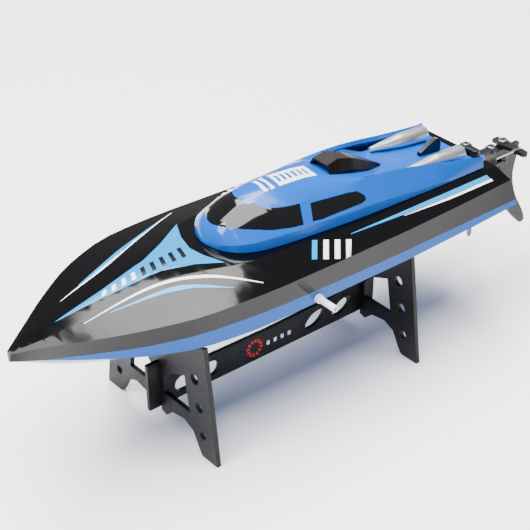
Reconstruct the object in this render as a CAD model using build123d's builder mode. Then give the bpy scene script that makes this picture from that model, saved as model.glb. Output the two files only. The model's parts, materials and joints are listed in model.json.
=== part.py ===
from build123d import *
import os
from math import cos, radians, sin, tan

# Racing rc boat on a three-piece display stand. Millimetres, +X bow, +Y port, +Z up.
# The origin is on the floor, under the middle of the overall length.

GAP = 0.4                # air between pieces that come apart
WALL = 1.8               # moulded shell thickness

# Hull stations: x, keel z, chine (y, z), deck knuckle (y, z), deck crease (y, z), crown z
STATIONS = [
    (-136.0, 47.5, 43.0, 72.0, 38.5, 86.3, 28.0, 90.8, 91.5),
    (-40.0, 47.5, 45.5, 70.8, 45.5, 89.5, 28.0, 94.0, 95.0),
    (50.0, 47.8, 45.5, 71.2, 47.5, 92.0, 27.0, 97.6, 99.5),
    (90.0, 48.8, 41.0, 71.0, 45.5, 93.0, 14.5, 98.2, 99.2),
    (120.0, 53.5, 30.0, 71.8, 37.0, 92.2, 10.5, 95.6, 96.4),
    (145.0, 62.0, 15.0, 72.8, 24.0, 89.8, 8.0, 92.0, 92.8),
    (165.0, 72.0, 4.8, 76.0, 11.0, 87.2, 5.6, 88.4, 88.9),
    (180.0, 79.2, 0.8, 79.9, 1.6, 84.6, 0.9, 85.0, 85.2),
]
TRANSOM_X = -120.5       # transom top edge, at deck height
TRANSOM_Z = 91.0
TRANSOM_RAKE = 10.0      # degrees, foot further aft than the top

# Propeller shaft line
SHAFT_ANGLE = 13.5
PROP_X, PROP_Z = -137.0, 40.0
SHAFT_R = 1.0
TUBE_R = 2.0
RUN = 0.06               # running clearance on a radius

# Steering linkage: equal arms on the servo and the rudder keep the rod parallel
RUDDER_X = -157.5
SERVO_X = -92.0
ARM = 13.0
ROD_Z = 83.0

# Stand
PLATE_T = 2.6
PLATE_XS = (-47.3, 93.2)
BOARD_T = 2.4
BOARD_X0, BOARD_X1 = -56.6, 102.5


def fair(table, x):
    """Row of a station table at any x, on a smooth curve that never overshoots its rows."""
    k = max(i for i in range(len(table) - 1) if table[i][0] <= x)
    span = table[k + 1][0] - table[k][0]
    f = (x - table[k][0]) / span
    out = [x]
    for c in range(1, len(table[0])):
        rise = [(q[c] - p[c]) / (q[0] - p[0]) for p, q in zip(table, table[1:])]
        lead = rise[k - 1] if k > 0 else rise[k]
        tail = rise[k + 1] if k + 1 < len(rise) else rise[k]
        m0 = 2 * lead * rise[k] / (lead + rise[k]) if lead * rise[k] > 0 else 0.0
        m1 = 2 * tail * rise[k] / (tail + rise[k]) if tail * rise[k] > 0 else 0.0
        p, q = table[k][c], table[k + 1][c]
        out.append(p * (1 + 2 * f) * (1 - f) ** 2 + q * f * f * (3 - 2 * f)
                   + span * (m0 * f * (1 - f) ** 2 - m1 * f * f * (1 - f)))
    return tuple(out)


def hull_outline(row, inset):
    """Closed half-and-half outline of one hull station, moved inwards by inset."""
    x, zk, yc, zc, yn, zn, yr, zr, zt = row
    side = [
        (0, zk + 1.15 * inset),
        (yc - inset, zc + 0.45 * inset),
        (yn - inset, zn - 0.55 * inset),
        (yr - 0.3 * inset, zr - inset),
        (0, zt - inset),
    ]
    return side + [(-y, z) for y, z in reversed(side[1:-1])]


def hull_solid(rows, inset, rake_shift):
    """Hull form lofted through its stations and cut off at the raked transom."""
    with BuildPart() as form:
        for row in rows:
            with BuildSketch(Plane.YZ.offset(row[0])):
                with BuildLine():
                    Polyline(*hull_outline(row, inset), close=True)
                make_face()
        loft(ruled=True)
        lean = tan(radians(TRANSOM_RAKE))
        top = TRANSOM_X + rake_shift + 20 * lean
        foot = TRANSOM_X + rake_shift - 60 * lean
        with BuildSketch(Plane.XZ):
            with BuildLine():
                Polyline((top, TRANSOM_Z + 20), (foot, TRANSOM_Z - 60), (-200, TRANSOM_Z - 60),
                         (-200, TRANSOM_Z + 20), close=True)
            make_face()
        extrude(amount=80, both=True, mode=Mode.SUBTRACT)
    return form.part


def shaft_plane(distance):
    """Plane across the shaft line, at a distance forward of the propeller."""
    a = radians(SHAFT_ANGLE)
    x = PROP_X + distance * cos(a)
    z = PROP_Z + distance * sin(a)
    return Plane(origin=(x, 0, z), x_dir=(0, 1, 0), z_dir=(cos(a), 0, sin(a)))


def rod(plane, radius, length, hole=0.0):
    """Round bar or tube standing on a plane."""
    with BuildPart() as bar:
        with BuildSketch(plane):
            Circle(radius)
            if hole:
                Circle(hole, mode=Mode.SUBTRACT)
        extrude(amount=length)
    return bar.part


def below_seam():
    """Everything under the joint between the blue tub and the black deck moulding."""
    with BuildPart() as block:
        with BuildSketch(Plane.XZ):
            with BuildLine():
                Spline((-150, 73.6), (-110, 75.2), (-70, 76.4), (-17, 77.6), (50, 80.0), (100, 80.8),
                       (145, 77.4), (190, 73.4))
                Polyline((190, 73.4), (190, 30), (-150, 30), (-150, 73.6))
            make_face()
        extrude(amount=70, both=True)
    return block.part


def save(part, name):
    part.label = name
    export_step(part, "parts/" + name + ".step")


os.makedirs("parts", exist_ok=True)

HULL_XS = (-136, -88, -40, 5, 50, 65, 78, 90, 101, 111, 120, 129, 137, 145, 152, 158, 164, 170, 175, 178,
           179.99)
form = hull_solid([fair(STATIONS, x) for x in HULL_XS], 0.0, 0.0)
hollow = hull_solid([fair(STATIONS, x) for x in HULL_XS if x < 160], WALL, WALL + 0.2)
tub_block = below_seam()
form_up = form.moved(Location((0, 0, GAP)))
form_down = form.moved(Location((0, 0, -GAP)))

# ---------------------------------------------------------------- hull tub
TUBE_A, TUBE_B = 13.0, 74.0
OUTLET_X, OUTLET_Z = 26.0, 74.0
ROD_HOLE_R = 3.6
INTAKE_Y, INTAKE_Z = -18.0, 64.0

tube_seat = rod(shaft_plane(TUBE_A), TUBE_R, TUBE_B - TUBE_A)

with BuildPart() as hull_tub:
    add(form)
    add(hollow, mode=Mode.SUBTRACT)
    add(tub_block, mode=Mode.INTERSECT)
    add(tube_seat, mode=Mode.SUBTRACT)
    with BuildSketch(Plane.XZ.offset(-60)):
        with Locations((OUTLET_X, OUTLET_Z)):
            Circle(1.8)
    extrude(amount=30, mode=Mode.SUBTRACT)
    with BuildSketch(Plane.YZ.offset(-135)):
        with Locations((INTAKE_Y, INTAKE_Z)):
            Circle(1.8)
    extrude(amount=20, mode=Mode.SUBTRACT)
save(hull_tub.part, "hull_tub")

# ---------------------------------------------------------------- deck moulding
HATCH_X0, HATCH_X1 = -36.0, 40.0
HATCH_HALF = 16.0
COAMING_Z = 100.6
HATCH_MID = (HATCH_X0 + HATCH_X1) / 2
HATCH_LEN = HATCH_X1 - HATCH_X0
LATCH_X, LATCH_Y = -117.0, 8.0
LATCH_Z = 95.3            # underside of the latch lever

with BuildPart() as deck:
    add(form)
    add(hollow, mode=Mode.SUBTRACT)
    add(tub_block, mode=Mode.SUBTRACT)
    with BuildSketch(Plane.XY.offset(85)):
        with Locations((HATCH_MID, 0)):
            RectangleRounded(HATCH_LEN + 3.2, 2 * HATCH_HALF + 3.2, 6.6)
    extrude(amount=COAMING_Z - 85)
    with BuildSketch(Plane.XY.offset(80)):
        with Locations((HATCH_MID, 0)):
            RectangleRounded(HATCH_LEN, 2 * HATCH_HALF, 5)
    extrude(amount=40, mode=Mode.SUBTRACT)
    with BuildSketch(Plane.YZ.offset(-135)):
        with Locations((ARM, ROD_Z)):
            Circle(ROD_HOLE_R)
    extrude(amount=20, mode=Mode.SUBTRACT)
    with BuildSketch(Plane.XY.offset(84)):
        with Locations((LATCH_X, LATCH_Y)):
            Circle(1.1)
    extrude(amount=12, mode=Mode.SUBTRACT)
save(deck.part, "deck_moulding")

# ---------------------------------------------------------------- canopy
# Canopy stations: x, sill (y, z), window top (y, z), roof or channel edge (y, z), middle z
CANOPY = [
    (-112.5, 26.4, 94.0, 25.0, 98.2, 21.6, 94.4, 94.4),
    (-77.0, 27.0, 95.5, 21.4, 104.8, 18.8, 98.6, 98.0),
    (-45.0, 27.0, 98.4, 19.4, 110.6, 15.6, 105.6, 104.6),
    (-15.0, 26.8, 101.2, 18.2, 112.6, 13.0, 114.2, 115.0),
    (20.0, 25.2, 102.6, 17.2, 112.4, 9.0, 118.6, 120.2),
    (42.0, 22.8, 103.4, 14.8, 111.8, 8.0, 116.8, 117.8),
    (52.0, 19.4, 103.2, 12.4, 109.8, 6.6, 113.2, 113.8),
    (58.5, 13.8, 102.6, 9.0, 107.0, 4.8, 109.0, 109.5),
    (61.8, 8.2, 101.4, 5.6, 103.4, 3.0, 104.4, 104.6),
    (63.8, 1.8, 100.0, 1.4, 100.3, 0.9, 100.5, 100.6),
]
NOSE_X = CANOPY[-1][0]
STERN_X = CANOPY[0][0]
CANOPY_XS = (-92, -75, -60, -45, -30, -15, 2, 20, 31, 42, 47, 52, 55.5, 58.5, 60.4, 61.8, 63)


def canopy_section(at, x, inset, foot):
    """Corners of the canopy's outline at one station, moved inwards and set at another place."""
    _, ys, zs, yw, zw, yr, zr, zm = fair(CANOPY, at)
    side = [(ys + 1.0 - inset, foot), (ys - inset, zs - 0.3 * inset), (yw - 0.8 * inset, zw - inset),
            (yr - 0.4 * inset, zr - inset), (0.5 * yr, 0.25 * zr + 0.75 * zm - inset), (0, zm - inset)]
    return [Vector(x, y, z) for y, z in side + [(-y, z) for y, z in reversed(side[:-1])]]


def faceted(sections):
    """Solid with flat triangles between the matching corners of neighbouring sections."""
    faces = [Face(Wire.make_polygon(sections[0])), Face(Wire.make_polygon(sections[-1]))]
    corners = len(sections[0])
    for near, far in zip(sections, sections[1:]):
        for i in range(corners):
            j = (i + 1) % corners
            faces.append(Face(Wire.make_polygon([near[i], near[j], far[j]])))
            faces.append(Face(Wire.make_polygon([near[i], far[j], far[i]])))
    return Part() + Solid(Shell(faces))


def canopy_form(inset, nose_back, back, foot):
    """Canopy block from stern to nose. The deck trims its foot."""
    rows = [canopy_section(STERN_X, STERN_X + back, inset, foot)]
    for at in CANOPY_XS:
        rows.append(canopy_section(at, at - nose_back * max(0.0, at / NOSE_X), inset, foot))
    rows.append(canopy_section(NOSE_X - 0.01, NOSE_X - nose_back, inset, foot))
    return faceted(rows)


def canopy_cavity():
    """Room inside the canopy: the same sections one wall further in, closing before the nose."""
    rows = [canopy_section(STERN_X, STERN_X + WALL, WALL, 80)]
    rows += [canopy_section(at, at, WALL, 80) for at in CANOPY_XS if at < 57]
    return faceted(rows)


canopy_out = canopy_form(0.0, 0.0, 0.0, 84)
canopy_mid = canopy_form(0.8, 0.8, -2.0, 82)
canopy_in = canopy_cavity()


def glass_outline(points_front, points_back):
    """Prism standing on a plan outline that is the same on both sides."""
    with BuildPart() as prism:
        with BuildSketch(Plane.XY.offset(101.5)):
            with BuildLine():
                Spline(*points_front, *[(x, -y) for x, y in reversed(points_front[:-1])])
                Line((points_front[0][0], -points_front[0][1]), (points_back[0][0], -points_back[0][1]))
                Spline(*[(x, -y) for x, y in points_back], *reversed(points_back[:-1]))
                Line(points_back[0], points_front[0])
            make_face()
        extrude(amount=30)
    return prism.part


screen_prism = glass_outline(
    [(17.5, 24.2), (32.0, 21.8), (44.0, 17.6), (53.0, 11.5), (58.6, 0)],
    [(14.5, 17.4), (27.0, 15.0), (36.0, 10.4), (41.6, 0)],
)


def side_prism():
    """Prism over both side windows, standing above the canopy's sill."""
    with BuildPart() as prism:
        with BuildSketch(Plane.XY.offset(99.8)):
            with BuildLine():
                Polyline((11.5, 24.5), (8.5, 18.8), (-21.5, 21.3), (-27.5, 24.6), (-20, 25.6), (5, 25.2),
                         close=True)
            make_face()
            fillet(vertices().sort_by(Axis.X)[0], 1.0)
        extrude(amount=30)
        mirror(about=Plane.XZ)
    return prism.part


glass_prisms = screen_prism + side_prism()
glass_skin = (canopy_out & glass_prisms) - canopy_mid

with BuildPart() as canopy:
    add(canopy_out)
    add(canopy_in, mode=Mode.SUBTRACT)
    add(form_up, mode=Mode.SUBTRACT)
    add(glass_skin, mode=Mode.SUBTRACT)
    with Locations((-113.0, 24.4, 97.0), (-113.0, -24.4, 97.0)):
        Cylinder(1.3, 2.8)
save(canopy.part, "canopy")

with BuildPart() as screen:
    add(glass_skin)
    add(screen_prism, mode=Mode.INTERSECT)
save(screen.part, "windscreen")
with BuildPart() as side_windows:
    add(glass_skin)
    add(screen_prism, mode=Mode.SUBTRACT)
save(side_windows.part, "side_windows")

# ---------------------------------------------------------------- canopy furniture
EXHAUST_Y = 14.8


def half_cone(sign):
    """Exhaust stack lying half sunk in the channel floor, widest at its open end."""
    along = (1, -0.02 * sign, 0.095)
    mouth = Plane(origin=(-105.4, sign * EXHAUST_Y, 98.9), z_dir=along)
    waist = Plane(origin=(-86, sign * (EXHAUST_Y + 0.1), 100.6), z_dir=along)
    tip = Plane(origin=(-64, sign * (EXHAUST_Y + 0.2), 102.6), z_dir=along)
    with BuildPart() as cone:
        for plane, radius in ((mouth, 4.7), (waist, 4.1), (tip, 1.4)):
            with BuildSketch(plane):
                Circle(radius)
        loft(ruled=True)
        with BuildSketch(mouth):
            Circle(3.6)
        extrude(amount=7, taper=6, mode=Mode.SUBTRACT)
    return cone.part - canopy_out


save(half_cone(1), "exhaust_port")
save(half_cone(-1), "exhaust_starboard")

with BuildPart() as fin_blank:
    with BuildSketch(Plane.XZ):
        with BuildLine():
            l1 = Line((-87.0, 94.5), (-88, 99))
            l2 = Spline(l1 @ 1, (-94, 101.6), (-99.6, 104.2))
            l3 = Spline(l2 @ 1, (-101.6, 103.2), (-102.8, 94.5))
            Line(l3 @ 1, l1 @ 0)
        make_face()
    extrude(amount=1.3, both=True)
fin = fin_blank.part - canopy_out
save(fin, "stern_fin")

# Scoop stations: x, foot half width and z, top half width and z
SCOOP = [
    (-14.2, 8.6, 110.0, 5.6, 119.2),
    (-21.5, 8.8, 109.0, 5.4, 120.6),
    (-32.0, 8.0, 104.5, 4.4, 117.2),
    (-45.0, 5.2, 100.0, 2.6, 110.2),
    (-57.6, 1.4, 97.5, 0.7, 102.8),
]
with BuildPart() as scoop_blank:
    for x, yf, zf, yt, zt in SCOOP:
        with BuildSketch(Plane.YZ.offset(x)):
            with BuildLine():
                Polyline((-yf, zf), (yf, zf), (yf - 0.4, zf + 0.55 * (zt - zf)), (yt, zt), (-yt, zt),
                         (-yf + 0.4, zf + 0.55 * (zt - zf)), close=True)
            make_face()
    loft(ruled=True)
with BuildPart() as scoop_mouth:
    with BuildSketch(Plane.YZ.offset(-13)):
        with BuildLine():
            Polyline((-7.0, 112), (7.0, 112), (6.9, 115.6), (4.9, 118.0), (-4.9, 118.0), (-6.9, 115.6),
                     close=True)
        make_face()
    extrude(amount=-12, taper=5)
save(scoop_blank.part - scoop_mouth.part - canopy_out, "air_scoop")

# ---------------------------------------------------------------- hatch under the canopy
with BuildPart() as hatch_cover:
    with BuildSketch(Plane.XY.offset(COAMING_Z + 1.2)):
        with Locations((HATCH_MID, 0)):
            RectangleRounded(HATCH_LEN + 5.0, 2 * HATCH_HALF + 5.0, 7.5)
    extrude(amount=1.4)
    with BuildSketch(Plane.XY.offset(COAMING_Z - 2.0)):
        with Locations((HATCH_MID, 0)):
            RectangleRounded(HATCH_LEN - 1.0, 2 * HATCH_HALF - 1.0, 4.5)
            RectangleRounded(HATCH_LEN - 5.0, 2 * HATCH_HALF - 5.0, 3, mode=Mode.SUBTRACT)
    extrude(amount=3.2)
    with BuildSketch(Plane.XY.offset(COAMING_Z)):
        with Locations((HATCH_MID, 0)):
            Circle(1.68)
    extrude(amount=4, mode=Mode.SUBTRACT)
save(hatch_cover.part, "hatch_cover")

with BuildPart() as hatch_seal:
    with BuildSketch(Plane.XY.offset(COAMING_Z + 0.1)):
        with Locations((HATCH_MID, 0)):
            RectangleRounded(HATCH_LEN + 3.0, 2 * HATCH_HALF + 3.0, 6.5)
            RectangleRounded(HATCH_LEN - 0.6, 2 * HATCH_HALF - 0.6, 4.8, mode=Mode.SUBTRACT)
    extrude(amount=1.1)
save(hatch_seal.part, "hatch_seal")

# ---------------------------------------------------------------- drive line
A = radians(SHAFT_ANGLE)


def ring(s0, s1, radius, hole=0.0):
    """Turned piece on the shaft line between two distances from the propeller."""
    return rod(shaft_plane(s0), radius, s1 - s0, hole)


JOIN = 95.0
MOTOR_A, MOTOR_B, MOTOR_R = 115.0, 147.0, 12.2
MOTOR_SHAFT_R = 1.15
JACKET_A, JACKET_B = 119.0, 139.0

save(ring(-9.6, JOIN, SHAFT_R), "drive_shaft")
save(ring(TUBE_A, TUBE_B, TUBE_R, SHAFT_R + RUN), "stuffing_tube")
save(ring(6.2, 9.4, 2.8, SHAFT_R), "drive_dog")
save(ring(JOIN - 9, JOIN, 4.2, SHAFT_R) + ring(JOIN, JOIN + 9, 4.2, MOTOR_SHAFT_R), "shaft_coupling")
save(ring(JOIN, 128.0, MOTOR_SHAFT_R), "motor_shaft")
motor_can = (ring(MOTOR_A, MOTOR_B, MOTOR_R) + ring(112.6, MOTOR_A, 3.2) + ring(MOTOR_B, MOTOR_B + 2, 4.0)
             - ring(112.0, 128.4, MOTOR_SHAFT_R + RUN))
save(motor_can, "motor")
jacket_mid = shaft_plane((JACKET_A + JACKET_B) / 2 - 4)
jacket_top = shaft_plane((JACKET_A + JACKET_B) / 2 + 4)
INLET = jacket_mid.origin
OUTLET = jacket_top.origin
spout_in = rod(Plane(origin=(INLET.X, -12.6, INLET.Z), z_dir=(0, -1, 0)), 1.2, 6.4)
spout_out = rod(Plane(origin=(OUTLET.X, 12.6, OUTLET.Z), z_dir=(0, 1, 0)), 1.2, 6.4)
spouts = spout_in + spout_out - ring(MOTOR_A, MOTOR_B, MOTOR_R)
jacket = ring(JACKET_A, JACKET_B, MOTOR_R + 1.2, MOTOR_R) + spouts
save(jacket, "cooling_jacket")

with BuildPart() as nut_blank:
    with BuildSketch(shaft_plane(-9.0)):
        RegularPolygon(3.1, 6)
        Circle(SHAFT_R, mode=Mode.SUBTRACT)
    extrude(amount=3.4)
save(nut_blank.part, "propeller_nut")

# Propeller: two blades, each lofted through flat sections that twist towards the tip
# Blade stations: radius, chord, pitch angle, thickness
BLADE = [(2.2, 5.2, 58, 1.5), (5.5, 8.6, 46, 1.3), (9.5, 9.4, 34, 1.0), (12.6, 6.4, 27, 0.7),
         (13.9, 2.2, 25, 0.4)]
shaft_loc = shaft_plane(0.0)


def blade(turn):
    with BuildPart() as piece:
        for r, chord, pitch, thick in BLADE:
            across = Plane(origin=(0, r, 0), x_dir=(1, 0, 0), z_dir=(0, 1, 0))
            with BuildSketch(across.rotated((0, pitch, 0))):
                Ellipse(chord / 2, thick / 2)
        loft(ruled=True)
    return piece.part.rotate(Axis.Z, turn)


hub = Cylinder(3.0, 11.2) + blade(0) + blade(180) - Cylinder(SHAFT_R, 20)
save(hub.moved(shaft_loc.location).moved(Location((0.1 * cos(A), 0, 0.1 * sin(A)))), "propeller")

with BuildPart() as strut_fin:
    with BuildSketch(Plane.XZ):
        with BuildLine():
            Polyline((-108, 50), (-127.0, 50), (-126.4, 42.4), (-117, 42.6), close=True)
        make_face()
    extrude(amount=1.2, both=True)
strut = ring(11.4, 19.0, 3.3) + (strut_fin.part - form)
strut = strut - ring(10.0, 60.0, TUBE_R) - ring(0.0, TUBE_A, SHAFT_R + RUN) - form
save(strut, "shaft_strut")

# ---------------------------------------------------------------- things fixed inside the tub


def slab(x0, x1, y0, y1, z0, z1, round_r=0.0):
    """Plain moulded block, with its upright corners rounded."""
    with BuildPart() as block:
        with BuildSketch(Plane.XY.offset(z0)):
            with Locations(((x0 + x1) / 2, (y0 + y1) / 2)):
                if round_r:
                    RectangleRounded(x1 - x0, y1 - y0, round_r)
                else:
                    Rectangle(x1 - x0, y1 - y0)
        extrude(amount=z1 - z0)
    return block.part


tube_clear = ring(TUBE_A, TUBE_B, TUBE_R)
with BuildPart() as mount_plate:
    with BuildSketch(shaft_plane(MOTOR_A - 2.4)):
        Rectangle(36, 60)
        Circle(3.2, mode=Mode.SUBTRACT)
    extrude(amount=2.4)
save((mount_plate.part & hollow) - slab(-60, 20, -40, 40, 81.0, 120), "motor_mount")

BATTERY = (22.0, 75.0, -14.5, 14.5, 64.0, 79.0)


def shelf(x0, x1, half, z0, z1, ribs):
    """Flat shelf on ribs that stand on the inside of the tub."""
    top = slab(x0, x1, -half, half, z0, z1, 2.0)
    for x in ribs:
        top = top + (slab(x - 1.2, x + 1.2, -half, half, 44, z0) & hollow)
    return top


strap = slab(43, 55, -16.4, 16.4, 61.0, 80.4) - slab(42, 56, -15.2, 15.2, 62.0, 79.3)
tray = shelf(18.0, 79.0, 18.0, 62.0, 63.8, (28.0, 70.0))
save(tray - slab(42.8, 55.2, 15.0, 16.6, 50, 70) - slab(42.8, 55.2, -16.6, -15.0, 50, 70), "battery_tray")
save(slab(*BATTERY, round_r=4.0), "battery")
save(strap, "battery_strap")
SHELF_Z = 72.0
save(shelf(84.0, 113.0, 13.0, SHELF_Z, SHELF_Z + 1.6, (90.0, 108.0)), "board_shelf")
save(slab(85.0, 112.0, -12.0, 12.0, SHELF_Z + 1.6, SHELF_Z + 3.0), "receiver_board")
chips = slab(89, 96, -8, -1, SHELF_Z + 3.0, SHELF_Z + 4.4) + slab(99, 108, 1, 8, SHELF_Z + 3.0, SHELF_Z + 4.6)
save(chips + Cylinder(2.6, 7).moved(Location((92, 6, SHELF_Z + 6.5))), "board_chips")

SERVO_TOP = 78.2
servo_body = slab(SERVO_X - 5.5, SERVO_X + 17.5, -6, 6, 58.2, SERVO_TOP, 0.8)
servo_body = servo_body + slab(SERVO_X - 10.5, SERVO_X + 22.5, -6, 6, 73.4, 75.0, 0.8)
servo_body = servo_body + Cylinder(3.4, 1.0).moved(Location((SERVO_X, 0, SERVO_TOP + 0.5)))
servo_body = servo_body + Cylinder(1.5, 2.0).moved(Location((SERVO_X, 0, SERVO_TOP + 2.0)))
servo_feet = [Location((x, 0, 74)) for x in (SERVO_X - 8.2, SERVO_X + 20.2)]
for spot in servo_feet:
    servo_body = servo_body - Cylinder(0.9, 8).moved(spot)
save(servo_body, "rudder_servo")
mount = Part()
for x in (SERVO_X - 8.2, SERVO_X + 20.2):
    post = slab(x - 1.9, x + 1.9, -10, 10, 44, 73.4) & hollow
    mount = mount + post
for spot in servo_feet:
    mount = mount - Cylinder(0.9, 14).moved(spot)
save(mount - tube_clear, "servo_mount")


def screw(x, y, z, r, length, head_r, head_h, axis=(0, 0, 1)):
    """Round-head screw: its head stands on (x, y, z) and its shank runs back along the axis."""
    up = Plane(origin=(x, y, z), z_dir=axis)
    shank = rod(up, r, -length)
    with BuildPart() as head:
        with BuildSketch(up):
            Circle(head_r)
        extrude(amount=head_h)
        fillet(head.faces().sort_by(Axis(up.origin, up.z_dir))[-1].edges(), 0.45 * head_h)
        with BuildSketch(up.offset(head_h)):
            Rectangle(1.2 * head_r, 0.32 * head_r)
            Rectangle(0.32 * head_r, 1.2 * head_r)
        extrude(amount=-0.5 * head_h, mode=Mode.SUBTRACT)
    return head.part + shank


servo_screws = Part()
for x in (SERVO_X - 8.2, SERVO_X + 20.2):
    servo_screws = servo_screws + screw(x, 0, 75.0, 0.9, 8, 2.0, 1.2)
save(servo_screws, "servo_screws")

# ---------------------------------------------------------------- steering
HORN_Z0, HORN_Z1 = 79.6, 81.4


def arm_plate(x, hub_r, tip_r, length, back, z0, z1, hole):
    """Flat lever along +Y with a hub hole, a rod hole at ARM, and a short tail."""
    with BuildPart() as plate:
        with BuildSketch(Plane.XY.offset(z0)):
            with Locations((x, 0)):
                Circle(hub_r)
                if back:
                    with Locations((0, -back / 2)):
                        Rectangle(2 * tip_r, back)
            with BuildLine():
                Polyline((x - 0.8 * hub_r, 0), (x - tip_r, length), (x + tip_r, length),
                         (x + 0.8 * hub_r, 0), close=True)
            make_face()
            with Locations((x, length)):
                Circle(tip_r)
            with Locations((x, 0)):
                Circle(hole, mode=Mode.SUBTRACT)
            with Locations((x, ARM)):
                Circle(0.76, mode=Mode.SUBTRACT)
        extrude(amount=z1 - z0)
    return plate.part


save(arm_plate(SERVO_X, 3.0, 1.8, ARM, 0, HORN_Z0, HORN_Z1, 1.56), "servo_horn")
with BuildPart() as pushrod:
    with BuildLine() as rod_line:
        FilletPolyline((SERVO_X, ARM, 78.9), (SERVO_X, ARM, ROD_Z), (RUDDER_X, ARM, ROD_Z),
                       (RUDDER_X, ARM, 78.9), radius=0.9)
    with BuildSketch(Plane(origin=rod_line.line @ 0, z_dir=rod_line.line % 0)):
        Circle(0.7)
    sweep()
save(pushrod.part, "pushrod")

BOOT_X = -122.2
with BuildPart() as boot:
    with BuildSketch(Plane(origin=(BOOT_X - 14.0, ARM - 0.6, ROD_Z), x_dir=(1, 0, 0), z_dir=(0, -1, 0))):
        with BuildLine():
            ridge = [(0, 2.2), (0, 2.9)]
            for i in range(5):
                ridge += [(1.2 + 2.2 * i, 2.9 + 0.1 * i), (2.2 + 2.2 * i, 4.2)]
            Polyline(*ridge, (12.0, 3.6), (16.0, 3.5), (16.0, 2.2), close=True)
        make_face()
    revolve(axis=Axis((BOOT_X, ARM - 0.6, ROD_Z), (1, 0, 0)))
save(boot.part - form, "pushrod_boot")

LUG_R = 3.7
LOW_LUG, TOP_LUG = (68.4, 71.0), (76.4, 79.0)
AFT = (-cos(radians(TRANSOM_RAKE)), 0, sin(radians(TRANSOM_RAKE)))
with BuildPart() as bracket_arms:
    for z0, z1 in (LOW_LUG, TOP_LUG):
        with BuildSketch(Plane.XY.offset(z0)):
            with Locations(((RUDDER_X - 118) / 2, 0)):
                Rectangle(-118 - RUDDER_X, 2 * LUG_R - 0.6)
            with Locations((RUDDER_X, 0)):
                Circle(LUG_R)
        extrude(amount=z1 - z0)
    with BuildSketch(Plane.XY.offset(LOW_LUG[0])):
        with Locations((-135.4, 0)):
            Rectangle(33.2, 3.2)
    extrude(amount=TOP_LUG[1] - LOW_LUG[0])
    with BuildSketch(Plane.XY.offset(TOP_LUG[0])):
        with Locations((-147.4, 0)):
            Circle(3.4)
        with Locations((-134.5, 0)):
            Rectangle(26, 4.6)
    extrude(amount=4.9)
    with BuildSketch(Plane.XY.offset(60)):
        with Locations((RUDDER_X, 0)):
            Circle(1.56)
    extrude(amount=24, mode=Mode.SUBTRACT)
keep = slab(-160, -100, -11, 7.6, 65.0, 87.0)
shifted = form.moved(Location((-2.4, 0, 0)))
bracket = ((shifted & keep) - form) + (bracket_arms.part - form)
save(bracket, "rudder_bracket")
BASE_BACK = 2.44
seat_x = TRANSOM_X - 16.0 * tan(radians(TRANSOM_RAKE)) - BASE_BACK
fixings = screw(-147.4, 0, TOP_LUG[0] + 4.9, 1.1, 6, 2.5, 1.4)
for y, z in ((-7.6, 77.0), (5.0, 73.0)):
    fixings = fixings + screw(seat_x, y, z, 1.1, 5.5, 2.3, 1.3, AFT)
save(fixings, "bracket_screws")

with BuildPart() as rudder_form:
    with BuildSketch(Plane.XZ):
        with BuildLine():
            r1 = Polyline((-155.4, 67.9), (-161.6, 67.9), (-161.6, 71.5), (-161.6, 75.9), (-162.0, 77.6))
            r2 = Line(r1 @ 1, (-170.6, 78.0))
            r3 = Spline(r2 @ 1, (-169.4, 70.0), (-167.4, 60.0), (-169.0, 48.0), (-174.4, 36.0),
                        (-180.2, 25.5), (-181.6, 20.6))
            r4 = ThreePointArc(r3 @ 1, (-179.6, 19.4), (-176.4, 21.0))
            r5 = Spline(r4 @ 1, (-167.5, 31.0), (-160.0, 42.6), (-156.2, 55.0), (-155.4, 67.9))
        make_face()
    extrude(amount=1.5, both=True)
    with BuildSketch(Plane.XY.offset(71.4)):
        with Locations((RUDDER_X, 0)):
            Circle(3.8)
        with Locations((-161, 0)):
            Rectangle(6, 3.0)
    extrude(amount=4.6)
    with BuildSketch(Plane.XY.offset(66.6)):
        with Locations((RUDDER_X, 0)):
            Circle(1.5)
    extrude(amount=18, mode=Mode.SUBTRACT)
save(rudder_form.part, "rudder_blade")

tiller = arm_plate(RUDDER_X, 4.0, 2.2, 16.6, 6.5, HORN_Z0, 82.0, 1.5)
save(tiller, "tiller_arm")
with BuildPart() as pivot:
    with BuildSketch(Plane.XY.offset(66.6)):
        with Locations((RUDDER_X, 0)):
            Circle(1.5)
    extrude(amount=82.0 - 66.6)
    with BuildSketch(Plane.XY.offset(82.0)):
        with Locations((RUDDER_X, 0)):
            Circle(2.8)
    extrude(amount=1.6)
    fillet(pivot.faces().sort_by(Axis.Z)[-1].edges(), 0.6)
    with BuildSketch(Plane.XY.offset(83.6)):
        with Locations((RUDDER_X, 0)):
            Rectangle(3.4, 0.8)
    extrude(amount=-0.7, mode=Mode.SUBTRACT)
save(pivot.part - rudder_form.part, "rudder_pin")

# ---------------------------------------------------------------- canopy latch on the after deck
with BuildPart() as latch:
    with BuildSketch(Plane.XY.offset(92.1)):
        with Locations((LATCH_X, LATCH_Y)):
            Circle(2.6)
    extrude(amount=LATCH_Z - 92.1)
    with BuildSketch(Plane.XY.offset(LATCH_Z)):
        with Locations((LATCH_X, LATCH_Y)):
            Circle(3.6)
        with Locations((LATCH_X, LATCH_Y + 4.6)):
            RectangleRounded(4.6, 11.0, 2.2)
    extrude(amount=2.0)
    fillet(latch.faces().sort_by(Axis.Z)[-1].edges(), 0.7)
    with BuildSketch(Plane.XY.offset(80)):
        with Locations((LATCH_X, LATCH_Y)):
            Circle(1.15)
    extrude(amount=30, mode=Mode.SUBTRACT)
save(latch.part, "canopy_latch")
save(screw(LATCH_X, LATCH_Y, LATCH_Z + 2.05, 1.09, 9.0, 2.2, 1.0), "latch_screw")

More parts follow.
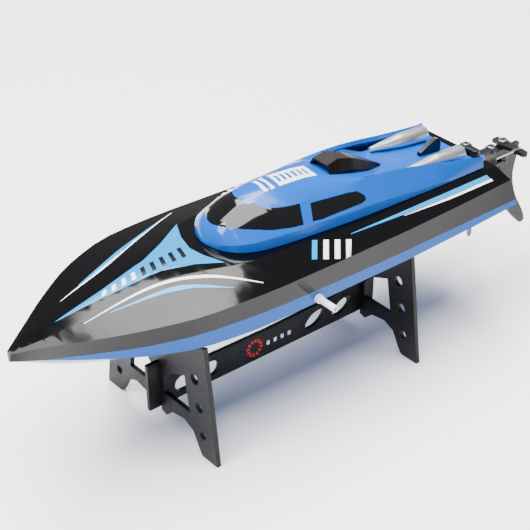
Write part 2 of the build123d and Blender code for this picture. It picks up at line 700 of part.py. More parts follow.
knob_x = HATCH_MID
with BuildPart() as knob:
    with BuildSketch(Plane.XY.offset(COAMING_Z + 2.9)):
        with Locations((knob_x, 0)):
            Circle(5.0)
    extrude(amount=1.2)
    with BuildSketch(Plane.XY.offset(COAMING_Z + 4.1)):
        with Locations((knob_x, 0)):
            RectangleRounded(9.0, 2.4, 1.0)
    extrude(amount=2.4)
    with BuildSketch(Plane.XY.offset(COAMING_Z - 3.0)):
        with Locations((knob_x, 0)):
            Circle(1.6)
    extrude(amount=6.0)
    with BuildSketch(Plane.XY.offset(COAMING_Z - 4.6)):
        with Locations((knob_x, 0)):
            RectangleRounded(20.0, 4.0, 1.8)
    extrude(amount=1.8)
save(knob.part, "hatch_knob")


# ---------------------------------------------------------------- cooling water


def hose(points, radius, hole, bend):
    """Pipe with straight runs and round bends."""
    with BuildPart() as pipe:
        with BuildLine() as path:
            FilletPolyline(*points, radius=bend)
        with BuildSketch(Plane(origin=path.line @ 0, z_dir=path.line % 0)):
            Circle(radius)
            if hole:
                Circle(hole, mode=Mode.SUBTRACT)
        sweep()
    return pipe.part


pickup_line = [(-108, INTAKE_Y, INTAKE_Z), (-131.5, INTAKE_Y, INTAKE_Z), (-131.5, INTAKE_Y, 40.0)]
pickup = hose(pickup_line, 1.8, 1.2, 5.0)
save(pickup, "water_pickup")
spout = rod(Plane(origin=(OUTLET_X, 37.0, OUTLET_Z), z_dir=(0, 1, 0)), 1.8, 22.5, 1.2)
flange = rod(Plane(origin=(OUTLET_X, 41.0, OUTLET_Z), z_dir=(0, 1, 0)), 2.4, 7.0, 1.8) - form
save(spout + flange, "water_outlet")
hose_in = hose([(-118.0, INTAKE_Y, INTAKE_Z), (-105.0, INTAKE_Y, INTAKE_Z), (-60, -20.5, 65),
                (INLET.X, -25.5, INLET.Z), (INLET.X, -13.6, INLET.Z)], 2.6, 1.8, 5.0)
hose_out = hose([(OUTLET.X, 13.6, OUTLET.Z), (OUTLET.X, 25.0, OUTLET.Z), (OUTLET_X, 30.0, OUTLET_Z),
                 (OUTLET_X, 40.5, OUTLET_Z)], 2.6, 1.8, 3.0)
blocks = jacket + spout + flange + pickup
save(hose_in - blocks, "cooling_hose_in")
save(hose_out - blocks, "cooling_hose_out")

# ---------------------------------------------------------------- wires
wires = Part()
for y in (-4.0, 4.0):
    wires = wires + hose([(98, y, SHELF_Z + 5.4), (98, y, 83.3), (11.5, y, 83.3), (11.5, y, 75.6),
                          (8.5, y, 75.6)], 0.9, 0, 1.4)
save(wires - motor_can - chips, "motor_wires")
lead = hose([(75.0, 3, 70.0), (79.5, 3, 70.0), (79.5, 3, 77.0), (86.0, 3, 77.0), (86.0, 3, SHELF_Z + 3.0)],
            0.9, 0, 1.0)
save(lead, "battery_lead")
lead = hose([(-82, -6, 66), (-82, -19, 71), (-60, -22, 76), (80, -24, 80), (87, -9, 80),
             (87, -9, SHELF_Z + 3.0)], 0.8, 0, 1.4)
save(lead, "servo_wire")
lead = hose([(111, -9, SHELF_Z + 3.0), (111, -9, 86.0), (130, -9, 86.0), (130, 9, 86.0), (60, 9, 88.5)],
            0.6, 0, 2.0)
save(lead, "antenna_wire")

# ---------------------------------------------------------------- display stand
PLATE_EDGE = [(0, 9.6), (5.5, 8.2), (11.2, 13.4), (21.2, 15.1), (28.6, 12.0), (31.2, 7.4), (33.4, 3.2),
              (36.0, 0.0), (48.6, 0.0), (39.4, 69.5), (0.0, 51.5)]
WINDOW = [(26.2, 22.2), (22.4, 43.6), (10.6, 38.6), (4.4, 32.4), (4.4, 22.2)]
HOLES = [(30.9, 46.2, 3.0), (34.2, 30.0, 2.8), (36.8, 13.4, 2.4)]
SLOT_TOP = 26.0


def stand_plate(x):
    """End plate of the stand: two legs, a cradle that follows the hull, windows and lightening holes."""
    with BuildPart() as plate:
        with BuildSketch(Plane.YZ.offset(x - PLATE_T / 2)):
            with BuildLine():
                Polyline(*PLATE_EDGE, close=True)
            make_face()
            with BuildLine():
                Polyline(*WINDOW, close=True)
            make_face(mode=Mode.SUBTRACT)
            for y, z, r in HOLES:
                with Locations((y, z)):
                    Circle(r, mode=Mode.SUBTRACT)
        extrude(amount=PLATE_T)
        mirror(about=Plane.XZ)
        with BuildSketch(Plane.XY):
            with Locations((x, 0)):
                Rectangle(2 * PLATE_T, BOARD_T + 0.1)
        extrude(amount=SLOT_TOP, mode=Mode.SUBTRACT)
    return plate.part - form_down


save(stand_plate(PLATE_XS[0]), "stand_plate_rear")
save(stand_plate(PLATE_XS[1]), "stand_plate_front")

MID = (BOARD_X0 + BOARD_X1) / 2
HALF = (BOARD_X1 - BOARD_X0) / 2
with BuildPart() as board:
    with BuildSketch(Plane.XZ):
        with BuildLine():
            b1 = Line((MID, 11.6), (MID + HALF - 0.6, 11.6))
            b2 = Line(b1 @ 1, (MID + HALF, 40.6))
            b3 = Line(b2 @ 1, (MID + HALF - 12.5, 40.6))
            b4 = Spline(b3 @ 1, (MID + HALF - 20, 33.6), (MID + HALF - 36, 29.2),
                        tangents=((-0.3, -1), (-1, 0)))
            b5 = Line(b4 @ 1, (MID, 28.4))
            Line(b5 @ 1, (MID, 11.6))
        make_face()
        mirror(about=Plane.YZ.offset(MID))
        with Locations((PLATE_XS[0], 40), (PLATE_XS[1], 40)):
            Rectangle(PLATE_T + 0.1, 2 * (40 - SLOT_TOP), mode=Mode.SUBTRACT)
        with Locations((70.6, 20.0)):
            SlotOverall(29.0, 9.4, mode=Mode.SUBTRACT)
        for x0 in (-4.4, -24.4):
            with BuildLine():
                f1 = ThreePointArc((x0, 16.6), (x0 - 10.4, 17.6), (x0 - 14.6, 24.4))
                ThreePointArc(f1 @ 1, (x0 - 5.0, 23.6), f1 @ 0)
            make_face(mode=Mode.SUBTRACT)
    extrude(amount=BOARD_T / 2, both=True)
save(board.part, "stand_board")
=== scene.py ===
import json
from math import ceil, cos, floor, pi, radians, sin

import bmesh
import bpy
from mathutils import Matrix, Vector
from mathutils.bvhtree import BVHTree
from mathutils.geometry import delaunay_2d_cdt


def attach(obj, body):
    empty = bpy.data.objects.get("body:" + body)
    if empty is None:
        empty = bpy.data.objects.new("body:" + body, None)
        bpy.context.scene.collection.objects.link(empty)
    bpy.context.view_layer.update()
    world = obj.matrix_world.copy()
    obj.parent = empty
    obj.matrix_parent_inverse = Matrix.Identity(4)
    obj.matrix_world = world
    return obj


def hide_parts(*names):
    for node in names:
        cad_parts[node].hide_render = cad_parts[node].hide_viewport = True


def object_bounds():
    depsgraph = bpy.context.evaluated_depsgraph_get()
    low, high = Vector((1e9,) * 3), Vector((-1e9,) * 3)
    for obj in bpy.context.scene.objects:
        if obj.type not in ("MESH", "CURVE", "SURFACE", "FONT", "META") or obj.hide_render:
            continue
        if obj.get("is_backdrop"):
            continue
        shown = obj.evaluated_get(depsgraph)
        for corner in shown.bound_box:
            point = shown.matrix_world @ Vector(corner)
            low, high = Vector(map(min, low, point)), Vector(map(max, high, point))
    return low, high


# Looks of the racing boat and its stand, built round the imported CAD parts.
# Metres, in the CAD frame: +X bow, +Y port, +Z up. MM turns millimetres into metres.

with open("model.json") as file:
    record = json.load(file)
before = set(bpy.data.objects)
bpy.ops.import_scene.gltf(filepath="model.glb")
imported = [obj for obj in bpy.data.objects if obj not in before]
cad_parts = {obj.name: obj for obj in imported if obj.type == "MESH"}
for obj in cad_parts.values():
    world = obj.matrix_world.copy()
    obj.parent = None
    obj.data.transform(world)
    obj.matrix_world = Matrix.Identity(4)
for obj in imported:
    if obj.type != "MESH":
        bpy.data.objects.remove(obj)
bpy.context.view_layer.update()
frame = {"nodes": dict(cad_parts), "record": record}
NODES = frame["nodes"]
SLOTS = {part["node"]: part["material_slot"] for part in frame["record"]["subparts"]}
BODIES = frame["record"]["behaviour"]["bodies"]
BODY_OF = {node: body for body, members in BODIES.items() for node in members}
MM = 0.001
WELD_GAP = 0.01 * MM
RIDGE_SPACING = 0.3142  # of the wave texture at a scale of 1, in metres
NOISE_BAND = (0.3, 0.7)  # where most of a noise texture's values lie


# ---------------------------------------------------------------- material helpers
def new_material(name):
    """Empty procedural material: its node tree and its main shader."""
    material = bpy.data.materials.new(name)
    material.use_nodes = True
    tree = material.node_tree
    return material, tree, tree.nodes["Principled BSDF"]


def coordinates(tree, stretch=(1, 1, 1), turn=(0, 0, 0)):
    """Object coordinates, stretched and turned."""
    coords = tree.nodes.new("ShaderNodeTexCoord")
    mapping = tree.nodes.new("ShaderNodeMapping")
    mapping.inputs["Scale"].default_value = stretch
    mapping.inputs["Rotation"].default_value = turn
    tree.links.new(coords.outputs["Object"], mapping.inputs["Vector"])
    return mapping.outputs["Vector"]


def noise(tree, size, detail, stretch=(1, 1, 1)):
    """Noise with features of about this size, in metres."""
    texture = tree.nodes.new("ShaderNodeTexNoise")
    texture.inputs["Scale"].default_value = 1.0 / size
    texture.inputs["Detail"].default_value = detail
    tree.links.new(coordinates(tree, stretch), texture.inputs["Vector"])
    return texture.outputs["Fac"]


def waves(tree, size, axis, turn):
    """Regular ridges this far apart, in metres, across one axis."""
    texture = tree.nodes.new("ShaderNodeTexWave")
    texture.bands_direction = axis
    texture.inputs["Scale"].default_value = RIDGE_SPACING / size
    tree.links.new(coordinates(tree, turn=turn), texture.inputs["Vector"])
    return texture.outputs["Fac"]


def arithmetic(tree, operation, first, second):
    """Math node on two sockets or numbers."""
    node = tree.nodes.new("ShaderNodeMath")
    node.operation = operation
    for k, value in enumerate((first, second)):
        if isinstance(value, (int, float)):
            node.inputs[k].default_value = value
        else:
            tree.links.new(value, node.inputs[k])
    return node.outputs[0]


def set_colour(tree, shader, dark, light, factor):
    """Base colour that wanders between two near tones."""
    mix = tree.nodes.new("ShaderNodeMix")
    mix.data_type = "RGBA"
    mix.inputs["A"].default_value = (*dark, 1)
    mix.inputs["B"].default_value = (*light, 1)
    tree.links.new(factor, mix.inputs["Factor"])
    tree.links.new(mix.outputs["Result"], shader.inputs["Base Color"])


def set_roughness(tree, shader, low, high, factor):
    """Roughness that wanders between two values."""
    spread = tree.nodes.new("ShaderNodeMapRange")
    spread.inputs["From Min"].default_value, spread.inputs["From Max"].default_value = NOISE_BAND
    spread.inputs["To Min"].default_value = low
    spread.inputs["To Max"].default_value = high
    tree.links.new(factor, spread.inputs["Value"])
    tree.links.new(spread.outputs["Result"], shader.inputs["Roughness"])


def set_bump(tree, shader, depth, height, strength=1.0):
    """Relief of this depth in metres."""
    bump = tree.nodes.new("ShaderNodeBump")
    bump.inputs["Strength"].default_value = strength
    bump.inputs["Distance"].default_value = depth
    tree.links.new(height, bump.inputs["Height"])
    tree.links.new(bump.outputs["Normal"], shader.inputs["Normal"])


def scaled(colour, factor):
    """Lighter or darker tone of a colour."""
    return tuple(min(1.0, factor * c) for c in colour)


def gloss(name, colour, rough, coat, vary=0.05, peel=0.004, specular=0.5):
    """Polished moulded or painted shell: faint cloudiness, orange peel under a clear coat."""
    material, tree, shader = new_material(name)
    set_colour(tree, shader, scaled(colour, 1 - vary), scaled(colour, 1 + vary), noise(tree, 30 * MM, 2))
    set_roughness(tree, shader, rough, rough + 0.05, noise(tree, 6 * MM, 4))
    set_bump(tree, shader, peel * MM, noise(tree, 1.6 * MM, 2))
    shader.inputs["Specular IOR Level"].default_value = specular
    shader.inputs["Coat Weight"].default_value = coat
    shader.inputs["Coat Roughness"].default_value = 0.03
    return material


def satin(name, colour, rough=0.42, grain=0.25):
    """Moulded plastic with a fine spark-eroded grain, its size in millimetres."""
    material, tree, shader = new_material(name)
    set_colour(tree, shader, scaled(colour, 0.8), scaled(colour, 1.25), noise(tree, 9 * MM, 4))
    set_roughness(tree, shader, rough - 0.06, rough + 0.08, noise(tree, 2.5 * MM, 3))
    set_bump(tree, shader, 0.02 * MM, noise(tree, grain * MM, 2))
    shader.inputs["Specular IOR Level"].default_value = 0.3
    return material


def rubbery(name, colour, rough=0.6):
    """Soft moulded rubber or silicone, a little dusty."""
    material, tree, shader = new_material(name)
    set_colour(tree, shader, scaled(colour, 0.85), scaled(colour, 1.3), noise(tree, 4 * MM, 5))
    set_roughness(tree, shader, rough - 0.08, rough + 0.12, noise(tree, 1.2 * MM, 3))
    set_bump(tree, shader, 0.03 * MM, noise(tree, 0.5 * MM, 3))
    shader.inputs["Sheen Weight"].default_value = 0.12
    return material


def metal(name, colour, rough=0.25, stretch=(0.05, 1, 1), size=0.35, depth=0.006):
    """Drawn or brushed metal, its fine lines running along the stretched axis."""
    material, tree, shader = new_material(name)
    lines = noise(tree, size * MM, 4, stretch)
    set_colour(tree, shader, scaled(colour, 0.86), scaled(colour, 1.08), lines)
    set_roughness(tree, shader, rough - 0.06, rough + 0.1, lines)
    set_bump(tree, shader, depth * MM, lines)
    shader.inputs["Metallic"].default_value = 1.0
    shader.inputs["Anisotropic"].default_value = 0.35
    return material


def woven(name, colour, cell, rough, depth):
    """Sheet with a woven face: squares whose threads cross alternately. Cell and depth are in millimetres."""
    material, tree, shader = new_material(name)
    checker = tree.nodes.new("ShaderNodeTexChecker")
    checker.inputs["Scale"].default_value = 1.0 / (cell * MM)
    slant = (pi / 4, pi / 4, 0)
    thread = 0.26 * cell * MM
    tree.links.new(coordinates(tree, turn=slant), checker.inputs["Vector"])
    squares = checker.outputs["Fac"]
    upright = waves(tree, thread, "Z", slant)
    level = arithmetic(tree, "MAXIMUM", waves(tree, thread, "Y", slant), waves(tree, thread, "X", slant))
    on_squares = arithmetic(tree, "MULTIPLY", upright, squares)
    between = arithmetic(tree, "MULTIPLY", level, arithmetic(tree, "SUBTRACT", 1.0, squares))
    threads = arithmetic(tree, "ADD", on_squares, between)
    set_colour(tree, shader, scaled(colour, 0.35), scaled(colour, 3.2), squares)
    rough_mix = arithmetic(tree, "ADD", arithmetic(tree, "MULTIPLY", squares, 0.25),
                           arithmetic(tree, "MULTIPLY", noise(tree, 8 * MM, 3), 0.5))
    set_roughness(tree, shader, rough - 0.08, rough + 0.16, rough_mix)
    set_bump(tree, shader, depth * MM, threads, 0.7)
    shader.inputs["Specular IOR Level"].default_value = 0.2
    return material


def printed(name, colour, rough=0.2):
    """Printed ink or vinyl on the shell, with a clear coat over it."""
    material, tree, shader = new_material(name)
    set_colour(tree, shader, scaled(colour, 0.93), scaled(colour, 1.05), noise(tree, 7 * MM, 4))
    set_roughness(tree, shader, rough - 0.05, rough + 0.06, noise(tree, 1.5 * MM, 3))
    set_bump(tree, shader, 0.003 * MM, noise(tree, 0.6 * MM, 2))
    shader.inputs["Specular IOR Level"].default_value = 0.2
    shader.inputs["Coat Weight"].default_value = 0.05
    shader.inputs["Coat Roughness"].default_value = 0.05
    return material


BLUE = (0.000, 0.074, 0.370)
BLACK = (0.0015, 0.0015, 0.0018)

MATERIALS = {
    "hull_blue": gloss("hull_blue", (0.000, 0.072, 0.330), 0.14, 0.03, specular=0.16),
    "canopy_blue": gloss("canopy_blue", BLUE, 0.13, 0.12, specular=0.3),
    "deck_black": gloss("deck_black", BLACK, 0.08, 0.04, specular=0.2),
    "window_dark": gloss("window_dark", (0.003, 0.003, 0.004), 0.05, 0.3, 0.1, 0.002, specular=0.35),
    "trim_black": gloss("trim_black", BLACK, 0.2, 0.1, specular=0.3),
    "scoop_dark": gloss("scoop_dark", (0.004, 0.0024, 0.002), 0.3, 0.05, 0.15, specular=0.18),
    "exhaust_silver": metal("exhaust_silver", (0.86, 0.86, 0.88), 0.34, (0.06, 1, 1), 0.5, 0.003),
    "moulded_black": satin("moulded_black", (0.005, 0.005, 0.0055)),
    "silicone": rubbery("silicone", (0.010, 0.010, 0.011)),
    "knob_red": satin("knob_red", (0.50, 0.02, 0.012), 0.4),
    "steel": metal("steel", (0.60, 0.61, 0.62), 0.22),
    "brass": metal("brass", (0.74, 0.52, 0.20), 0.26),
    "alloy": metal("alloy", (0.70, 0.71, 0.73), 0.3, (1, 0.08, 1)),
    "motor_can": metal("motor_can", (0.50, 0.51, 0.53), 0.3, (1, 0.1, 1)),
    "propeller_grey": satin("propeller_grey", (0.035, 0.036, 0.040), 0.38, 0.4),
    "battery_wrap": gloss("battery_wrap", (0.015, 0.060, 0.300), 0.28, 0.2, 0.1, 0.02),
    "strap_fabric": woven("strap_fabric", (0.012, 0.012, 0.013), 0.7, 0.8, 0.09),
    "board_green": satin("board_green", (0.010, 0.110, 0.040), 0.35, 0.8),
    "chip_black": satin("chip_black", (0.010, 0.010, 0.010), 0.5),
    "servo_blue": satin("servo_blue", (0.014, 0.016, 0.024), 0.35),
    "screw_steel": metal("screw_steel", (0.30, 0.30, 0.31), 0.3, (1, 1, 0.2)),
    "horn_white": satin("horn_white", (0.72, 0.72, 0.69), 0.45),
    "nipple_white": satin("nipple_white", (0.70, 0.74, 0.78), 0.32, 0.3),
    "wire_red": rubbery("wire_red", (0.42, 0.012, 0.010), 0.4),
    "wire_black": rubbery("wire_black", (0.010, 0.010, 0.010), 0.42),
    "stand_black": woven("stand_black", (0.0025, 0.0025, 0.0028), 1.9, 0.4, 0.1),
}
CYAN_INK = printed("ink_cyan", (0.000, 0.185, 0.440))
PALE_INK = printed("ink_pale_blue", (0.012, 0.250, 0.560))
WHITE_INK = printed("ink_white", (0.780, 0.800, 0.820))
BLACK_INK = printed("ink_black", (0.006, 0.006, 0.007))
NAVY_INK = printed("ink_navy", (0.010, 0.080, 0.330))
RED_INK = printed("ink_red", (0.620, 0.015, 0.012), 0.35)
STICKER_BLACK = printed("sticker_black", (0.008, 0.008, 0.009), 0.3)


# ---------------------------------------------------------------- CAD pieces
SHARP_EDGE = 32  # degrees


def link_mesh(name, mesh):
    """New object in the scene, showing this mesh."""
    obj = bpy.data.objects.new(name, mesh)
    bpy.context.scene.collection.objects.link(obj)
    return obj


def soften(obj, width):
    """Small round, its width in millimetres, on the sharp edges."""
    bevel = obj.modifiers.new("rounded_edges", "BEVEL")
    bevel.limit_method = "ANGLE"
    bevel.angle_limit = radians(SHARP_EDGE)
    bevel.width = width * MM
    bevel.segments = 3
    bevel.harden_normals = True


def shell(node, crease):
    """Skin that stands for a lofted CAD shell: welded, smooth, crisp where it bends more than the crease."""
    mesh = bpy.data.meshes.new(node + "_skin")
    bm = bmesh.new()
    bm.from_mesh(NODES[node].data)
    bmesh.ops.remove_doubles(bm, verts=bm.verts, dist=WELD_GAP)
    bmesh.ops.dissolve_degenerate(bm, edges=bm.edges, dist=WELD_GAP)
    for face in bm.faces:
        face.smooth = True
    for edge in bm.edges:
        edge.smooth = len(edge.link_faces) == 2 and edge.calc_face_angle(0.0) < radians(crease)
    bm.to_mesh(mesh)
    bm.free()
    obj = link_mesh(node + "_skin", mesh)
    mesh.materials.append(MATERIALS[SLOTS[node]])
    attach(obj, BODY_OF[node])
    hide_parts(node)
    return obj


# Crease angle of each shell, in degrees
SHELLS = {"hull_tub": 14, "deck_moulding": 10, "canopy": 24, "windscreen": 50, "side_windows": 40}
skins = {node: shell(node, crease) for node, crease in SHELLS.items()}

# Width of the round on each part's edges, in millimetres
EDGE_ROUND = {
    "stand_plate_rear": 0.25, "stand_plate_front": 0.25, "stand_board": 0.22, "air_scoop": 1.1,
    "rudder_blade": 0.3, "tiller_arm": 0.2, "rudder_bracket": 0.25, "battery": 0.8, "hatch_cover": 0.3,
    "hatch_knob": 0.25, "canopy_latch": 0.12, "receiver_board": 0.1, "board_chips": 0.1,
}
for node, obj in NODES.items():
    if node in skins:
        continue
    obj.data.materials.clear()
    obj.data.materials.append(MATERIALS[SLOTS[node]])
    if node in EDGE_ROUND:
        weld = obj.modifiers.new("weld", "WELD")
        weld.merge_threshold = WELD_GAP
        soften(obj, EDGE_ROUND[node])


# ---------------------------------------------------------------- printed graphics
def tree_of(*objects):
    """Search tree over the faces of several meshes, for laying thin pieces on them."""
    verts, faces = [], []
    for obj in objects:
        start = len(verts)
        verts += [v.co.copy() for v in obj.data.vertices]
        faces += [[start + i for i in p.vertices] for p in obj.data.polygons]
    return BVHTree.FromPolygons(verts, faces)


def curve_through(points):
    """Catmull-Rom curve through plan points, ten steps to a span."""
    per_span = 10
    ends = [2 * points[0] - points[1], *points, 2 * points[-1] - points[-2]]
    out = []
    for a, b, c, d in zip(ends, ends[1:], ends[2:], ends[3:]):
        for k in range(per_span):
            t = k / per_span
            out.append(0.5 * (2 * b + (c - a) * t + (2 * a - 5 * b + 4 * c - d) * t * t
                              + (3 * b - a - 3 * c + d) * t ** 3))
    return [*out, points[-1]]


def stroke(points, widths):
    """Outline of a brush stroke in plan that swells and narrows as its widths say."""
    line = curve_through([Vector(p) for p in points])
    left, right = [], []
    for k, p in enumerate(line):
        ahead = line[min(k + 1, len(line) - 1)] - line[max(k - 1, 0)]
        side = Vector((-ahead.y, ahead.x)).normalized()
        f = k / (len(line) - 1) * (len(widths) - 1)
        i = min(int(f), len(widths) - 2)
        half = 0.5 * (widths[i] + (widths[i + 1] - widths[i]) * (f - i))
        left.append(p + side * half)
        right.append(p - side * half)
    return left + right[::-1]


def bar_outline(x0, x1, low, high, lean=0.0):
    """Four corners of a straight bar whose upper end leans forward."""
    return [(x0, low), (x1, low), (x1 + lean, high), (x0 + lean, high)]


RAY_START = 0.2  # metres: clear of every surface that is printed on


def laid_on(name, outline, target, body, material, lift=0.1, step=1.2, side=None):
    """Thin printed film on a surface. The outline is in millimetres: in plan, or x and z from one side."""
    outline = [Vector(p) for p in outline]
    if sum(a.x * b.y - b.x * a.y for a, b in zip(outline, outline[1:] + outline[:1])) < 0:
        outline.reverse()
    count = len(outline)
    lows = [min(p[i] for p in outline) for i in (0, 1)]
    highs = [max(p[i] for p in outline) for i in (0, 1)]
    columns = range(ceil(lows[0] / step), floor(highs[0] / step) + 1)
    rows = range(ceil(lows[1] / step), floor(highs[1] / step) + 1)
    points = outline + [Vector((i * step, j * step)) for i in columns for j in rows]
    edges = [(i, (i + 1) % count) for i in range(count)]
    verts, _, faces, *_ = delaunay_2d_cdt(points, edges, [list(range(count))], 1, 1e-5)
    coords = []
    for v in verts:
        if side is None:
            start, down = Vector((v.x * MM, v.y * MM, RAY_START)), Vector((0, 0, -1))
        else:
            start, down = Vector((v.x * MM, side * RAY_START, v.y * MM)), Vector((0, -side, 0))
        hit, normal, _, _ = target.ray_cast(start, down)
        if hit is None:
            hit, normal, _, _ = target.find_nearest(start + 0.5 * RAY_START * down)
        if normal.dot(down) > 0:
            normal = -normal
        coords.append(hit + lift * MM * normal)
    mesh = bpy.data.meshes.new(name)
    mesh.from_pydata(coords, [], faces)
    mesh.materials.append(material)
    for polygon in mesh.polygons:
        polygon.use_smooth = True
    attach(link_mesh(name, mesh), body)


deck_tree = tree_of(NODES["deck_moulding"])
canopy_tree = tree_of(NODES["canopy"], NODES["windscreen"], NODES["side_windows"])
board_tree = tree_of(NODES["stand_board"])

# Forked arrow down the middle of the bow. The slanted bars printed on it grow towards the stern.
ARROW = [(154.3, 0.6), (125.3, 3.5), (94.8, 6.0), (78.0, 11.8), (65.1, 19.5), (70.0, 8.0), (71.6, -1.2),
         (68.0, -13.0), (60.8, -26.3), (80.0, -14.8), (95.8, -7.6), (125.0, -2.2)]
laid_on("bow_arrow", ARROW, deck_tree, "hull", CYAN_INK)
ARROW_BARS, WHITE_BARS, BAR_FRONT, BAR_PITCH, BAR_HALF, BAR_LEAN = 9, 4, 124.0, 6.0, 1.25, 2.6
BAR_LOW, LOW_GROWTH, BAR_HIGH, HIGH_GROWTH = -0.6, 0.496, 2.6, 0.18
for k in range(ARROW_BARS):
    x = BAR_FRONT - BAR_PITCH * k
    low, high = BAR_LOW - LOW_GROWTH * k, BAR_HIGH + HIGH_GROWTH * k
    bar = bar_outline(x - BAR_HALF, x + BAR_HALF, low, high, BAR_LEAN)
    ink = WHITE_INK if k < WHITE_BARS else BLACK_INK
    laid_on(f"bow_bar_{k + 1}", bar, deck_tree, "hull", ink, lift=0.3)

# Swept strokes on the bow, each with its widths along the way
BOW_SWEEPS = {
    "port_white": ([(144.3, 11.3), (105.4, 13.0), (79.5, 22.3), (57.8, 40.8)], [0.3, 1.8, 2.2, 0.5],
                   WHITE_INK),
    "port_blue": ([(131.1, 14.0), (95.4, 21.5), (72.6, 36.1)], [0.4, 3.4, 0.5], PALE_INK),
    "starboard_white": ([(142.6, -11.4), (107.1, -20.2), (52.5, -42.3)], [0.3, 2.0, 0.5], WHITE_INK),
    "starboard_blue": ([(129.4, -15.3), (98.0, -25.0), (66.8, -37.0)], [0.4, 3.2, 0.5], CYAN_INK),
}
for word, (points, widths, ink) in BOW_SWEEPS.items():
    laid_on(f"bow_sweep_{word}", stroke(points, widths), deck_tree, "hull", ink)

# Two stripes along each side of the deck, the same on both sides
SIDES = {"port": 1, "starboard": -1}
SIDE_STRIPES = {
    "blue": ([(-6.4, 34.1), (-60.0, 34.2), (-110.0, 33.2)], [0.4, 3.0, 3.3], CYAN_INK),
    "white": ([(-42.6, 36.0), (-75.0, 36.5), (-110.4, 35.6)], [0.2, 1.4, 1.5], WHITE_INK),
}
for word, side in SIDES.items():
    for tone, (points, widths, ink) in SIDE_STRIPES.items():
        route = [(x, side * y) for x, y in points]
        laid_on(f"side_stripe_{word}_{tone}", stroke(route, widths), deck_tree, "hull", ink)

# Generic marks on both sides of the deck: one blue bar and three white ones, each set back and out
MARK_COUNT, MARK_FRONT, MARK_INNER, MARK_PITCH, MARK_SHIFT = 4, 15.6, 28.6, 5.6, 2.5
MARK_LENGTH, MARK_WIDTH = Vector((9.4, 10.8)), Vector((-2.6, 1.2))
for word, side in SIDES.items():
    for k in range(MARK_COUNT):
        near = Vector((MARK_FRONT - MARK_PITCH * k, MARK_INNER + MARK_SHIFT * k))
        far = near + MARK_LENGTH
        bar = [(p.x, side * p.y) for p in (near, near + MARK_WIDTH, far + MARK_WIDTH, far)]
        ink = CYAN_INK if k == 0 else WHITE_INK
        laid_on(f"side_mark_{word}_{k + 1}", bar, deck_tree, "hull", ink)

# White label on the roof, slanted bars printed on it, and two bars ahead of it
LABEL_BACK, LABEL_FRONT, LABEL_HALF = -8.0, 17.5, 6.2
label = bar_outline(LABEL_BACK, LABEL_FRONT, -LABEL_HALF, LABEL_HALF, lean=1.2)
laid_on("roof_label", label, canopy_tree, "canopy", WHITE_INK)
LABEL_BARS, NAVY_BARS, LABEL_BAR_FRONT, LABEL_BAR_PITCH = 6, 4, 14.6, 3.7
for k in range(LABEL_BARS):
    x = LABEL_BAR_FRONT - LABEL_BAR_PITCH * k
    bar = bar_outline(x - 1.0, x + 0.9, -3.0, 3.2, lean=1.0)
    ink = NAVY_INK if k < NAVY_BARS else CYAN_INK
    laid_on(f"roof_label_bar_{k + 1}", bar, canopy_tree, "canopy", ink, lift=0.26)
ROOF_BARS, ROOF_BAR_BACK, ROOF_BAR_PITCH, ROOF_BAR_WIDTH, ROOF_BAR_TRIM = 2, 20.6, 4.0, 2.4, 0.4
for k in range(ROOF_BARS):
    x = ROOF_BAR_BACK + ROOF_BAR_PITCH * k
    half = LABEL_HALF - ROOF_BAR_TRIM * k
    bar = bar_outline(x, x + ROOF_BAR_WIDTH, -half, half, lean=1.0)
    laid_on(f"roof_bar_{k + 1}", bar, canopy_tree, "canopy", WHITE_INK)


# ---------------------------------------------------------------- sticker on the stand board
def on_board(name, outline, ink, lift=0.1, step=3):
    """Flat print on the port face of the stand board."""
    laid_on(name, outline, board_tree, "stand", ink, lift, step, side=SIDES["port"])


on_board("board_sticker", bar_outline(-2.0, 51.0, 13.0, 26.6), STICKER_BLACK, lift=0.05, step=6)
RING_X, RING_Z, RING_OUT, RING_IN = 31.5, 20.2, 5.6, 3.4
TEETH, TOOTH_SHARE = 12, 0.55
for k in range(TEETH):
    a0, a1 = (2 * pi * (k + share) / TEETH for share in (0, TOOTH_SHARE))
    tooth = [(RING_X + r * cos(a), RING_Z + r * sin(a))
             for r, a in ((RING_IN, a0), (RING_OUT, a0), (RING_OUT, a1), (RING_IN, a1))]
    on_board(f"sticker_ring_{k + 1}", tooth, RED_INK)
DASHES, DASH_FRONT, DASH_PITCH, DASH_LENGTH, DASH_LOW, DASH_HIGH = 4, 23.0, 5.0, 2.0, 18.2, 20.8
for k in range(DASHES):
    x = DASH_FRONT - DASH_PITCH * k
    on_board(f"sticker_dash_{k + 1}", bar_outline(x - DASH_LENGTH, x, DASH_LOW, DASH_HIGH), WHITE_INK)


# ---------------------------------------------------------------- studio
FLOOR_SIZE, FLOOR_DROP = 6, 0.2 * MM
WORLD_STRENGTH = 0.32
CAMERA_PLACE = (0.47127, 0.54487, 0.52492)
CAMERA_HEADING, CAMERA_HEIGHT = radians(50.567), radians(32.828)
CAMERA_LENS, SENSOR_WIDTH = 107.62, 36


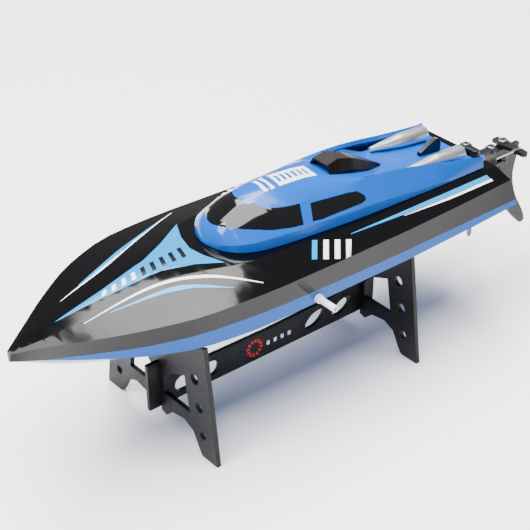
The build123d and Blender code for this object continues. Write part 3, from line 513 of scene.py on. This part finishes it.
def area_light(name, place, aim, size, power):
    """Rectangular soft light turned towards a point: size in metres, power in watts."""
    data = bpy.data.lights.new(name, "AREA")
    data.shape = "RECTANGLE"
    data.size, data.size_y = size
    data.energy = power
    light = bpy.data.objects.new(name, data)
    bpy.context.scene.collection.objects.link(light)
    light.location = place
    light.rotation_mode = "QUATERNION"
    light.rotation_quaternion = (Vector(aim) - Vector(place)).to_track_quat("-Z", "Y")


def studio():
    """Pale floor, soft lights and an even, dim surround."""
    bm = bmesh.new()
    bmesh.ops.create_grid(bm, x_segments=2, y_segments=2, size=FLOOR_SIZE)
    mesh = bpy.data.meshes.new("floor")
    bm.to_mesh(mesh)
    bm.free()
    ground = link_mesh("floor", mesh)
    ground.location = (0, 0, -FLOOR_DROP)
    material, tree, shader = new_material("floor_paper")
    set_colour(tree, shader, (0.90, 0.90, 0.90), (0.93, 0.93, 0.93), noise(tree, 0.4, 2))
    set_roughness(tree, shader, 0.75, 0.85, noise(tree, 0.01, 2))
    mesh.materials.append(material)
    ground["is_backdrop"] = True

    world = bpy.data.worlds.new("surround")
    bpy.context.scene.world = world
    world.use_nodes = True
    background = world.node_tree.nodes["Background"]
    background.inputs["Color"].default_value = (1, 1, 1, 1)
    background.inputs["Strength"].default_value = WORLD_STRENGTH

    area_light("top_softbox", (0.05, 0, 1.6), (0, 0, 0.05), (1.56, 1.5), 100)
    area_light("bow_softbox", (0.95, -0.1, 1.15), (0.05, 0, 0.1), (0.45, 0.7), 24)
    area_light("lobe_softbox", (-0.46, -0.75, 1.48), (0.1, 0.03, 0.1), (0.68, 0.5), 20)
    area_light("port_fill", (1.3, 1.3, 0.7), (0, 0, 0.08), (0.8, 0.5), 8)


def photo_camera():
    """Camera off the port bow, looking down at the boat."""
    data = bpy.data.cameras.new("camera")
    camera = bpy.data.objects.new("camera", data)
    bpy.context.scene.collection.objects.link(camera)
    level = cos(CAMERA_HEIGHT)
    back = Vector((level * cos(CAMERA_HEADING), level * sin(CAMERA_HEADING), sin(CAMERA_HEIGHT)))
    camera.location = CAMERA_PLACE
    camera.rotation_mode = "QUATERNION"
    camera.rotation_quaternion = (-back).to_track_quat("-Z", "Y")
    data.lens = CAMERA_LENS
    data.sensor_width = SENSOR_WIDTH
    data.clip_start, data.clip_end = 0.05, 20
    bpy.context.scene.camera = camera


studio()
photo_camera()

low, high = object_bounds()
